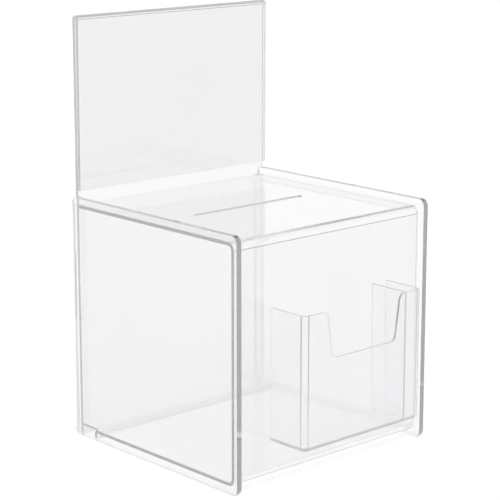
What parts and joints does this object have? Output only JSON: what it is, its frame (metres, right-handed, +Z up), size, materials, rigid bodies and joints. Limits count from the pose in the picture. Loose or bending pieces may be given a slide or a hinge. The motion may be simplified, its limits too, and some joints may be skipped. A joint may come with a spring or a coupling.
{
  "type": "donation box",
  "caption": "Clear acrylic donation box with a money slot in the top, a lift-out back panel folded into a poster header, and a leaflet pocket with a pen compartment on the front.",
  "frame": {"origin": "on the standing surface, at the centre of the whole footprint, the leaflet pocket included", "axes": "+X right along the front, -Y out of the front where the leaflet pocket is, +Z up along the poster header"},
  "size_m": [0.222, 0.2496, 0.374],
  "materials": {
    "cheek_acrylic": "clear cast acrylic sheet, flame-polished edges",
    "sheet_acrylic": "clear acrylic sheet, line-bent, cut edges",
    "panel_acrylic": "clear acrylic sheet, folded over, cut edges",
    "strip_acrylic": "clear acrylic strip, cut edges",
    "pocket_acrylic": "clear thin acrylic sheet, line-bent, cut edges"
  },
  "bodies": {
    "box": {"left_cheek": "cheek_acrylic", "right_cheek": "cheek_acrylic", "body_sheet": "sheet_acrylic", "rear_ledge": "strip_acrylic", "left_rear_guide": "strip_acrylic", "left_front_guide": "strip_acrylic", "right_rear_guide": "strip_acrylic", "right_front_guide": "strip_acrylic", "pocket_shell": "pocket_acrylic", "pocket_floor": "pocket_acrylic", "pocket_divider": "pocket_acrylic"},
    "panel": {"back_panel": "panel_acrylic"}
  },
  "joints": [
    {"name": "back_panel_lift", "type": "slide", "parent": "box", "child": "panel", "axis": [0, 0, 1], "range_m": [0, 0.24]}
  ]
}
